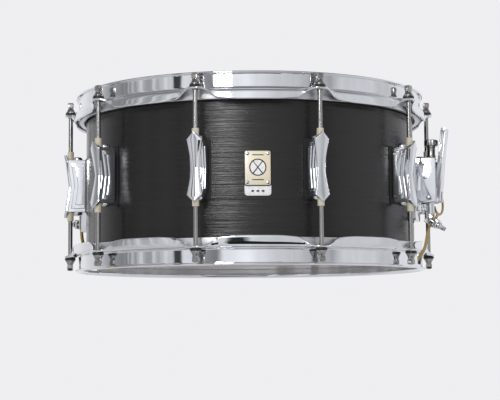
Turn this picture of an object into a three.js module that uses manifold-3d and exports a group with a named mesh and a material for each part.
// A 14 x 6.5 inch snare drum: a wooden shell, two drum heads, two triple-flanged hoops, ten
// double-ended lugs with twenty tension rods, a throw-off, a butt plate and a set of snare wires.
// Millimetres, +Z up. The origin is on the drum's axis, in the plane that the bottom hoop's rim
// rests on, and the badge faces -Y.
import * as THREE from "three";
import { mergeVertices } from "three/addons/utils/BufferGeometryUtils.js";
import Module from "manifold-3d";

const wasm = await Module();
wasm.setup();

// ---------- driving dimensions ----------

const gap = 0.3; // left between pieces that touch

const shellRadius = 176;
const shellWall = 7;
const shellHalfDepth = 82.55;
const edgePeakRadius = 172.5; // the line of each bearing edge that its head lies on
const edgeCut = 3.5; // height of the 45 degree cuts that make a bearing edge

const rimHeight = 93.3; // from the drum's mid plane to the outer edge of either hoop
const hoopWallInner = 181.9;
const hoopWallOuter = 184.2;
const rimRollRadius = 187;
const rimRollHeight = 3.7;
const earTop = 77.2; // where a washer bears on the hoop
const hoopSheet = 2.3;
const earRadius = 200;
const earHalfWidth = 6.5;
const earSlope = 14.5; // arc over which the flange falls from an ear to the skirt
const skirtRadius = 190.2;
const skirtEdge = 64.4;

const lugCount = 10;
const lugStep = 360 / lugCount;
const boltCircle = 193.5;
const rodRadius = 2.4;
const rodHole = 3.3;

const collarInner = 178.6;
const collarOuter = 183.4;
const collarTop = earTop - 0.8;
const collarHeight = 10;
const filmThickness = 0.4;

const lugBack = shellRadius + 0.9;
const lugHalfHeight = 28;
const plateTip = 34;

const strainerAngle = 72; // seen from above, measured from the badge towards +X
const buttAngle = strainerAngle - 180;
const cordRadius = 1.2;
const jawGap = 1.7; // from the middle of a clamped cord to the jaw on either side
const wireZ = -(shellHalfDepth + filmThickness + 2 * gap); // top of the snare wires

// ---------- materials ----------

const finish = (color, roughness, metalness) =>
  new THREE.MeshStandardMaterial({ color, roughness, metalness });
const chrome = finish(0xd9dce2, 0.12, 1);
const satinChrome = finish(0xb9bcc4, 0.3, 1);
const stainedWood = finish(0x2b2a2e, 0.45, 0);
const clearFilm = finish(0xd8dadd, 0.3, 0);
const coatedFilm = finish(0xf2f1ec, 0.7, 0);
const aluminium = finish(0xc9cbcf, 0.35, 1);
const brass = finish(0xc3a878, 0.35, 1);
const whiteLacquer = finish(0xf0f0ee, 0.4, 0);
const goldCord = finish(0xb39a45, 0.8, 0);
const steelWire = finish(0xb4b6ba, 0.3, 1);

// ---------- solids ----------

// Any closed geometry as a manifold solid with its faces pointing out.
function solidOf(geometry) {
  const bare = geometry.clone();
  bare.deleteAttribute("normal");
  bare.deleteAttribute("uv");
  const merged = mergeVertices(bare, 1e-4);
  const corners = [];
  for (let i = 0; i < merged.index.count; i += 3) {
    const [a, b, c] = [0, 1, 2].map((k) => merged.index.getX(i + k));
    if (a !== b && b !== c && c !== a) corners.push(a, b, c);
  }
  const points = merged.attributes.position.array;
  const make = (order) => new wasm.Manifold(new wasm.Mesh({
    numProp: 3,
    vertProperties: points,
    triVerts: new Uint32Array(order),
  }));
  const solid = make(corners);
  return solid.volume() > 0 ? solid : make(corners.reverse());
}

function geometryOf(solid) {
  const mesh = solid.getMesh();
  const geometry = new THREE.BufferGeometry();
  const points = new Float32Array(mesh.numVert * 3);
  for (let i = 0; i < mesh.numVert; i++) {
    for (let k = 0; k < 3; k++) points[3 * i + k] = mesh.vertProperties[mesh.numProp * i + k];
  }
  geometry.setAttribute("position", new THREE.BufferAttribute(points, 3));
  geometry.setIndex(new THREE.BufferAttribute(new Uint32Array(mesh.triVerts), 1));
  const flat = geometry.toNonIndexed();
  flat.computeVertexNormals();
  return flat;
}

const join = (first, ...others) =>
  geometryOf(others.reduce((whole, next) => whole.add(solidOf(next)), solidOf(first)));
const cut = (first, ...tools) =>
  geometryOf(tools.reduce((whole, next) => whole.subtract(solidOf(next)), solidOf(first)));

// A box between two corners.
function box(x0, x1, y0, y1, z0, z1) {
  const made = new THREE.BoxGeometry(x1 - x0, y1 - y0, z1 - z0);
  return made.translate((x0 + x1) / 2, (y0 + y1) / 2, (z0 + z1) / 2);
}

// A body of revolution about Z from a profile of [radius, height] points.
function turned(profile, sides) {
  const points = profile.map(([r, z]) => new THREE.Vector2(r, z));
  return new THREE.LatheGeometry(points, sides).rotateX(Math.PI / 2);
}

// A round bar or disc about Z.
const bar = (radius, z0, z1, sides) => turned([[0, z0], [radius, z0], [radius, z1], [0, z1]], sides);

// A ring about Z with a rectangular or other closed section.
const ring = (section, sides) => turned([...section, section[0]], sides);

// A round bar along X, as a drum's radial screws are.
const radialBar = (radius, x0, x1, y, z, sides) =>
  bar(radius, x0, x1, sides).rotateY(Math.PI / 2).translate(0, y, z);

// A round bar along Y.
const crossBar = (radius, y0, y1, x, z, sides) =>
  bar(radius, -y1, -y0, sides).rotateX(Math.PI / 2).translate(x, 0, z);

// A side profile of [x, z] points, given a width along Y from y0 to y1.
function sideProfile(points, y0, y1) {
  const shape = new THREE.Shape(points.map(([x, z]) => new THREE.Vector2(x, z)));
  const made = new THREE.ExtrudeGeometry(shape, { depth: y1 - y0, bevelEnabled: false });
  return made.rotateX(Math.PI / 2).translate(0, y1, 0);
}

// A cord through hand-placed [x, y, z] points.
function cordAlong(points, steps) {
  const route = new THREE.CatmullRomCurve3(points.map((p) => new THREE.Vector3(...p)), false, "centripetal");
  const section = new THREE.Shape();
  section.absarc(0, 0, cordRadius, 0, 2 * Math.PI);
  const made = new THREE.ExtrudeGeometry(section, { steps, curveSegments: 4, extrudePath: route });
  return made;
}

// ---------- places on the drum ----------

const root = new THREE.Group();
const drum = new THREE.Group();
drum.position.z = rimHeight;
root.add(drum);

// A place on the shell: local +X points away from the drum's axis, +Y runs round the shell.
function station(angle) {
  const group = new THREE.Group();
  group.rotation.z = THREE.MathUtils.degToRad(angle - 90);
  drum.add(group);
  return group;
}

function addPart(name, geometry, material, place = drum) {
  const mesh = new THREE.Mesh(geometry, material);
  mesh.name = name;
  place.add(mesh);
  return mesh;
}

const lugAngles = Array.from({ length: lugCount }, (_, i) => lugStep * (i + 0.5));
const twoDigits = (i) => String(i + 1).padStart(2, "0");

// ---------- shell ----------

function shellGeometry() {
  const inner = shellRadius - shellWall;
  const shoulder = shellHalfDepth - edgeCut;
  const section = [
    [shellRadius, -shoulder],
    [shellRadius, shoulder],
    [edgePeakRadius, shellHalfDepth],
    [inner, shoulder],
    [inner, -shoulder],
    [edgePeakRadius, -shellHalfDepth],
  ];
  return ring(section, 64);
}

const mountScrewHeights = { strainer: [14, -34], butt: [14, -36] };
const mountHole = 2.3;
const ventHole = 4.7;

function shellHoles() {
  const through = (radius, angle, z) =>
    radialBar(radius, shellRadius - 12, shellRadius + 4, 0, z, 10)
      .rotateZ(THREE.MathUtils.degToRad(angle - 90));
  return [
    through(ventHole, 180, 0),
    ...mountScrewHeights.strainer.map((z) => through(mountHole, strainerAngle, z)),
    ...mountScrewHeights.butt.map((z) => through(mountHole, buttAngle, z)),
  ];
}

addPart("shell", cut(shellGeometry(), ...shellHoles()), stainedWood);

function airVent() {
  const flangeIn = shellRadius + gap;
  const section = [
    [2.8, shellRadius - shellWall - 1],
    [4.3, shellRadius - shellWall - 1],
    [4.3, flangeIn],
    [6.5, flangeIn],
    [6.2, flangeIn + 1.4],
    [2.8, flangeIn + 1.6],
  ];
  return ring(section, 16).rotateY(Math.PI / 2);
}

addPart("air_vent", airVent(), chrome, station(180));

// ---------- heads ----------

const headSides = 60;

// A profile on the drum's top (side +1) or, mirrored and in the opposite order, underneath (-1).
const onSide = (profile, side) => (side > 0 ? profile : profile.map(([r, z]) => [r, -z]).reverse());

function headFilm(side) {
  const rest = shellHalfDepth + gap;
  const top = rest + filmThickness;
  const hem = collarTop - collarHeight + 2;
  const tuckedIn = collarInner - gap;
  const profile = [
    [0, rest],
    [edgePeakRadius, rest],
    [shellRadius + 0.8, 79.6],
    [tuckedIn - filmThickness, hem],
    [tuckedIn, hem],
    [shellRadius + 1.2, 79.9],
    [edgePeakRadius + 0.3, top],
    [0, top],
  ];
  return turned(onSide(profile, side), headSides);
}

function headCollar(side) {
  const section = [
    [collarInner, collarTop - collarHeight],
    [collarOuter, collarTop - collarHeight],
    [collarOuter, collarTop],
    [collarInner, collarTop],
  ];
  return ring(onSide(section, side), headSides);
}

addPart("batter_head_film", headFilm(1), coatedFilm);
addPart("batter_head_collar", headCollar(1), aluminium);
addPart("snare_head_film", headFilm(-1), clearFilm);
addPart("snare_head_collar", headCollar(-1), aluminium);

// ---------- hoops ----------

// The hoop's section, where fall is 0 at an ear and 1 on the skirt between two ears.
function hoopSection(fall) {
  const mix = THREE.MathUtils.lerp;
  const wallFoot = earTop - hoopSheet + 1.8;
  return [
    [hoopWallInner, rimHeight],
    [rimRollRadius - 0.6, rimHeight],
    [rimRollRadius, rimHeight - 0.45 * rimRollHeight],
    [hoopWallOuter, rimHeight - rimRollHeight],
    [hoopWallOuter, earTop + 1.2],
    [mix(186.6, 188.2, fall), mix(earTop, earTop - 2, fall)],
    [mix(earRadius, skirtRadius, fall), mix(earTop, skirtEdge, fall)],
    [mix(earRadius, skirtRadius - hoopSheet, fall), mix(earTop - hoopSheet, skirtEdge, fall)],
    [mix(186.6, 186.2, fall), mix(earTop - hoopSheet, earTop - 3.8, fall)],
    [hoopWallOuter, wallFoot],
    [hoopWallInner, wallFoot],
  ];
}

// Angles, in degrees, where the hoop's section is placed: close together on the slopes by the ears.
function hoopStations() {
  const arc = (length) => THREE.MathUtils.radToDeg(length / boltCircle);
  const slope = [0, 1 / 3, 2 / 3, 1].map((part) => arc(earHalfWidth + part * earSlope));
  const halfStep = [...slope, (slope[3] + lugStep / 2) / 2];
  const around = [...halfStep.map((a) => -a).reverse(), ...halfStep, lugStep / 2];
  return lugAngles.flatMap((lug) => around.map((offset) => ({
    angle: lug + offset,
    fall: THREE.MathUtils.smoothstep(Math.abs(offset), slope[0], slope[3]),
  })));
}

function hoopGeometry(side) {
  const stations = hoopStations();
  const sections = stations.map(({ fall }) => hoopSection(fall));
  const points = [];
  stations.forEach(({ angle }, i) => {
    const turn = THREE.MathUtils.degToRad(angle - 90);
    for (const [r, z] of sections[i]) points.push(r * Math.cos(turn), r * Math.sin(turn), side * z);
  });
  const corners = [];
  const count = sections[0].length;
  for (let i = 0; i < stations.length; i++) {
    const here = i * count;
    const next = ((i + 1) % stations.length) * count;
    for (let k = 0; k < count; k++) {
      const up = (k + 1) % count;
      corners.push(here + k, next + k, next + up, here + k, next + up, here + up);
    }
  }
  const geometry = new THREE.BufferGeometry();
  geometry.setAttribute("position", new THREE.Float32BufferAttribute(points, 3));
  geometry.setIndex(corners);
  return geometry;
}

const rodHoles = (side) => lugAngles.map((angle) =>
  bar(rodHole, side * (earTop - 5), side * (earTop + 5), 8)
    .translate(boltCircle, 0, 0)
    .rotateZ(THREE.MathUtils.degToRad(angle - 90)));

// The openings in the bottom hoop that the snare cords pass through.
const gateHalfWidth = 17;
const gateBottom = -87;
const snareGates = [strainerAngle, buttAngle].map((angle) =>
  box(178, 200, -gateHalfWidth, gateHalfWidth, gateBottom, -60)
    .rotateZ(THREE.MathUtils.degToRad(angle - 90)));

addPart("top_hoop", cut(hoopGeometry(1), ...rodHoles(1)), chrome);
addPart("bottom_hoop", cut(hoopGeometry(-1), ...rodHoles(-1), ...snareGates), chrome);

// ---------- lugs ----------

// The front plate: pointed ends, shoulders, and sides that curve in to a waist.
function lugPlateOutline() {
  const shoulder = { y: 7.7, z: 26.7 };
  const waist = 4.3;
  const side = [1, 0.5, 0, -0.5, -1].map((part) => [
    waist + (shoulder.y - waist) * part * part,
    shoulder.z * part,
  ]);
  return [[0, plateTip], ...side, [0, -plateTip], ...side.map(([y, z]) => [-y, -z])];
}

function lugGeometry() {
  const shape = new THREE.Shape(lugPlateOutline().map(([y, z]) => new THREE.Vector2(y, z)));
  const plate = new THREE.ExtrudeGeometry(shape, { depth: 8, bevelEnabled: false });
  plate.rotateZ(Math.PI / 2).rotateY(Math.PI / 2).translate(192, 0, 0);
  const half = lugHalfHeight;
  // The plate's face and back, in side view, both sink towards the waist.
  const plateSide = [[200, 36], [195.6, 0], [200, -36], [194, -36], [192.4, 0], [194, 36]];
  const face = solidOf(plate).intersect(solidOf(sideProfile(plateSide, -10, 10)));
  const steps = [
    sideProfile([[lugBack, half], [195, half], [192.8, 0], [195, -half], [lugBack, -half]], -6, 6),
    box(lugBack, 190.6, -7, 7, -24.5, 24.5),
    box(lugBack, 186.7, -8.2, 8.2, -17.5, 17.5),
  ];
  const bore = bar(rodRadius + 0.7, -50, 50, 8).translate(boltCircle, 0, 0);
  return cut(join(geometryOf(face), ...steps), bore);
}

const lug = lugGeometry();
const lugStations = lugAngles.map(station);
lugStations.forEach((place, i) => addPart("lug_" + twoDigits(i), lug, satinChrome, place));

// ---------- tension rods ----------

// A key rod with its washer: thread up to the washer, a flared head and a square for the key.
function tensionRod(side) {
  const washer = earTop + gap;
  const profile = [
    [0, 12],
    [rodRadius, 12],
    [rodRadius, washer],
    [5.75, washer],
    [5.75, washer + 2],
    [5.25, washer + 2.1],
    [5.25, washer + 3.2],
    [3.4, washer + 6.5],
    [0, washer + 6.5],
  ];
  const half = 3.15 / Math.SQRT2;
  const square = box(-half, half, -half, half, washer + 5, washer + 13.2);
  const made = join(turned(profile, 8), square);
  return side > 0 ? made : made.rotateX(Math.PI);
}

for (const [name, side] of [["top_rod_", 1], ["bottom_rod_", -1]]) {
  const rod = tensionRod(side);
  lugStations.forEach((place, i) => {
    addPart(name + twoDigits(i), rod, chrome, place).position.x = boltCircle;
  });
}

// ---------- badge ----------

// A flat plate with rounded corners, lying on the shell. corners gives the lower pair's and the
// upper pair's radius.
function trimPlate(half, low, high, corners, thickness) {
  const [lower, upper] = corners;
  const shape = new THREE.Shape();
  shape.absarc(half - upper, high - upper, upper, 0, Math.PI / 2);
  shape.absarc(upper - half, high - upper, upper, Math.PI / 2, Math.PI);
  shape.absarc(lower - half, low + lower, lower, Math.PI, 1.5 * Math.PI);
  shape.absarc(half - lower, low + lower, lower, 1.5 * Math.PI, 2 * Math.PI);
  const plate = new THREE.ExtrudeGeometry(shape, { depth: thickness, bevelEnabled: false, curveSegments: 3 });
  return plate.rotateZ(Math.PI / 2).rotateY(Math.PI / 2).translate(shellRadius + gap, 0, 0);
}

const badgePlace = station(0);
addPart("badge_plate", trimPlate(13.2, -17.4, 17.4, [2.5, 2.5], 1), brass, badgePlace);
addPart("badge_tab", trimPlate(13.8, -26.6, -17.4 - gap, [3.2, 0.3], 0.8), whiteLacquer, badgePlace);

// ---------- throw-off ----------

const strainer = station(strainerAngle);
const pivot = { x: 195.4, z: -19.4 };
const pinRadius = 1.8;
const housing = { outer: 203.3, top: 22.2, bottom: -24.4, halfWidth: 12, wall: 3 };
const knobX = 197.5;
const clampCentre = { x: 198.2, z: -43.9 };
const clampTilt = THREE.MathUtils.degToRad(35);
const jawHalfWidth = 9;
const clampScrewY = 6;

// Puts a solid that is drawn about the clamp's own centre where the tilted clamp is.
const tilted = (geometry) => geometry.rotateY(clampTilt).translate(clampCentre.x, 0, clampCentre.z);

function mountSockets(heights) {
  return heights.map((z) => radialBar(mountHole, shellRadius, shellRadius + 5.4, 0, z, 8));
}

function strainerBase() {
  const inside = housing.halfWidth - housing.wall;
  const plate = box(shellRadius + 0.9, 182.5, -15, 15, -43, 24);
  const block = box(182, housing.outer, -housing.halfWidth, housing.halfWidth, housing.bottom, housing.top);
  const cavity = box(186.5, 230, -inside, inside, -60, housing.top - 4);
  const sideSlots = box(184.6, 187.2, -20, 20, -12, 4);
  const knobHole = bar(2.9, 10, 30, 10).translate(knobX, 0, 0);
  const pinHole = crossBar(pinRadius + gap, -20, 20, pivot.x, pivot.z, 12);
  const sockets = mountSockets(mountScrewHeights.strainer);
  return cut(join(plate, block), cavity, sideSlots, knobHole, pinHole, ...sockets);
}

// The lever's outline is clear of the housing's lower corner as it swings out and down.
function strainerLever() {
  const flangeIn = 6.2;
  const flangeOut = 8.7;
  const handle = [
    [205.2, -24], [207.4, -24], [208.6, -8], [210.3, 10], [211.4, 22], [215, 53.4],
    [209.2, 53.4], [205.6, 22], [203.9, 10], [203.7, -12], [205.2, -15],
  ];
  const window = [[208.4, 35.5], [210.6, 35.5], [212, 48], [209.8, 48]];
  const ear = [
    [205, -24], [206.4, -15], [206.4, -8], [196, -13.6], [191.6, -15.6], [190.8, -21], [193, -23.6],
  ];
  const betweenFlanges = box(200, 230, -flangeIn, flangeIn, -40, -13);
  const hollow = [[200, -13], [205.6, -13], [207.8, 10], [209.2, 22], [210, 33], [200, 33]];
  const outer = cut(
    sideProfile(handle, -flangeOut, flangeOut), sideProfile(window, -20, 20), betweenFlanges,
  );
  const channel = cut(outer, sideProfile(hollow, -flangeIn, flangeIn));
  const ears = [-1, 1].map((side) => {
    const near = side * flangeIn;
    const far = side * flangeOut;
    return sideProfile(ear, Math.min(near, far), Math.max(near, far));
  });
  const bridge = box(205.3, 207.2, -flangeIn - 0.5, flangeIn + 0.5, -13, -8);
  const pinHole = crossBar(pinRadius + gap, -20, 20, pivot.x, pivot.z, 12);
  return cut(join(channel, bridge, ...ears), pinHole);
}

function strainerCarriage() {
  const block = box(189, 201.2, -5.8, 5.8, -24, 10);
  const pinSlot = box(pivot.x - 2.2, pivot.x + 2.2, -10, 10, pivot.z - 2.3, pivot.z + 6.6);
  const threadHole = bar(2.8, -8, 20, 10).translate(knobX, 0, 0);
  const stem = bar(4.3, -40.5, -22.4, 12).translate(195.6, 0, 0);
  const jaw = tilted(box(-7.2, -jawGap, -jawHalfWidth, jawHalfWidth, -5, 5));
  const screwSockets = [-1, 1].map((side) =>
    tilted(radialBar(2.3, -5.6, 5, side * clampScrewY, 0, 8)));
  const beyondJaw = tilted(box(-jawGap, 20, -5.9, 5.9, -12, 12));
  return cut(join(block, stem, jaw), pinSlot, threadHole, beyondJaw, ...screwSockets);
}

function tensionKnob() {
  const profile = [
    [0, -2],
    [2.3, -2],
    [2.3, housing.top + gap],
    [4.6, housing.top + gap],
    [4.6, 35.3],
    [7.3, 35.3],
    [7.3, 41.8],
    [0, 41.8],
  ];
  return turned(profile, 16).translate(knobX, 0, 0);
}

// A clamp's outer jaw, with a hole for each of its two screws.
function clampBar(thickness) {
  const holes = [-1, 1].map((side) => radialBar(2.3, -20, 20, side * clampScrewY, 0, 8));
  return cut(box(jawGap, jawGap + thickness, -jawHalfWidth, jawHalfWidth, -5, 5), ...holes);
}

// A clamp screw along X: a shank and a drum-key head.
function clampScrew(thickness, headLength, side) {
  const head = jawGap + thickness + gap;
  const end = head + headLength;
  const profile = [[0, -5], [2, -5], [2, head], [3.5, head], [3.5, end], [0, end]];
  return turned(profile, 8).rotateY(Math.PI / 2).translate(0, side * clampScrewY, 0);
}

function mountScrew(z) {
  const inside = shellRadius - shellWall - gap;
  const profile = [[0, inside - 3], [4.2, inside - 3], [4.2, inside], [2, inside], [2, 181], [0, 181]];
  return turned(profile, 8).rotateY(Math.PI / 2).translate(0, 0, z);
}

addPart("strainer_base", strainerBase(), chrome, strainer);
addPart("strainer_lever", strainerLever(), chrome, strainer);
addPart("lever_pin", crossBar(pinRadius, -12.8, 12.8, pivot.x, pivot.z, 12), satinChrome, strainer);
addPart("strainer_carriage", strainerCarriage(), chrome, strainer);
addPart("tension_knob", tensionKnob(), chrome, strainer);
addPart("strainer_clamp_bar", tilted(clampBar(5)), chrome, strainer);
[1, -1].forEach((side, i) => {
  addPart("strainer_clamp_screw_" + (i + 1), tilted(clampScrew(5, 7.5, side)), chrome, strainer);
});
mountScrewHeights.strainer.forEach((z, i) => {
  addPart("strainer_mount_screw_" + (i + 1), mountScrew(z), chrome, strainer);
});

// ---------- butt plate ----------

const butt = station(buttAngle);
const buttFace = 194;
const buttClampZ = -37;

function buttBase() {
  const outline = [
    [shellRadius + 0.9, 22], [184, 22], [191, 14], [buttFace, 2],
    [buttFace, -43], [191, -46], [shellRadius + 0.9, -46],
  ];
  const sockets = [-1, 1].map((side) => radialBar(2.3, 186, 200, side * clampScrewY, buttClampZ, 8));
  return cut(sideProfile(outline, -jawHalfWidth - 3, jawHalfWidth + 3), ...sockets,
    ...mountSockets(mountScrewHeights.butt));
}

const atButtClamp = (geometry) => geometry.translate(buttFace + jawGap, 0, buttClampZ);

addPart("butt_base", buttBase(), chrome, butt);
addPart("butt_clamp_bar", atButtClamp(clampBar(3)), chrome, butt);
[1, -1].forEach((side, i) => {
  addPart("butt_clamp_screw_" + (i + 1), atButtClamp(clampScrew(3, 3.5, side)), chrome, butt);
});
mountScrewHeights.butt.forEach((z, i) => {
  addPart("butt_mount_screw_" + (i + 1), mountScrew(z), chrome, butt);
});

// ---------- snare wires and their cords ----------

function snareWires() {
  const strands = 20;
  const pitch = 2.2;
  const thick = 1.2;
  const [plateIn, plateOut, plateHalfWidth] = [150, 164, 23];
  const bottom = wireZ - thick;
  const ends = [-1, 1].map((side) => box(
    Math.min(side * plateIn, side * plateOut), Math.max(side * plateIn, side * plateOut),
    -plateHalfWidth, plateHalfWidth, bottom, wireZ,
  ));
  const wires = Array.from({ length: strands }, (_, i) => {
    const y = pitch * (i - (strands - 1) / 2);
    return box(-plateIn - 1, plateIn + 1, y - thick / 2, y + thick / 2, bottom, wireZ);
  });
  return join(ends[0], ...wires, ends[1]);
}

addPart("snare_wires", snareWires(), steelWire, strainer);

const underPlate = wireZ - 1.2 - gap - cordRadius;
const cordSpread = 8; // half the distance between the two runs at the wires' end plate
const cordPinch = 1.7; // half the same distance in a clamp

// The two runs from an end plate to the gate, and the loop that joins them under the plate.
const runToGate = (side) => [
  [160, side * cordSpread, underPlate],
  [168, side * 7.5, underPlate + 0.6],
  [176, side * 6, -83.9],
  [184.5, side * 4.4, -78.4],
  [188.6, side * 3.2, -72],
];
const loop = [[157.6, 4, underPlate], [157, 0, underPlate], [157.6, -4, underPlate]];

// From the gate up to the throw-off's clamp and through it, to two short tails beside the lever.
const throughStrainerClamp = (side) => [
  [191, side * 2.4, -63],
  [192.4, side * 1.9, -55],
  [193.9, side * cordPinch, -50],
  [195.3, side * cordPinch, -48],
  [201.1, side * cordPinch, -39.8],
  [202.4, side * cordPinch, -37.9],
];
const longTail = [
  [203.8, 4.8, -36.2], [204.8, 9.6, -35.4], [205.8, 13.6, -33],
  [206.6, 14.4, -29], [206.4, 14.4, -22], [205.4, 14.2, -15],
];
const shortTail = [
  [202.6, 1.4, -35.2], [201.6, 7, -34.4], [200.2, 12.4, -33.4], [198.8, 14.2, -30.4], [197.8, 14.2, -26.4],
];

const strainerCordRoute = [
  ...[...runToGate(1), ...throughStrainerClamp(1), ...longTail].reverse(),
  ...loop,
  ...runToGate(-1), ...throughStrainerClamp(-1), ...shortTail,
];

const throughButtClamp = (side) => [
  [192.6, side * 2.4, -62],
  [195, side * 1.9, -52],
  [buttFace + jawGap, side * cordPinch, -43],
  [buttFace + jawGap, side * cordPinch, -31],
  [buttFace + jawGap + 1.4, side * 2.2, -25],
];
const buttCordRoute = [
  ...[...runToGate(1), ...throughButtClamp(1)].reverse(),
  ...loop,
  ...runToGate(-1), ...throughButtClamp(-1),
];

addPart("strainer_cord", cordAlong(strainerCordRoute, 52), goldCord, strainer);
addPart("butt_cord", cordAlong(buttCordRoute, 40), goldCord, butt);

export default root;
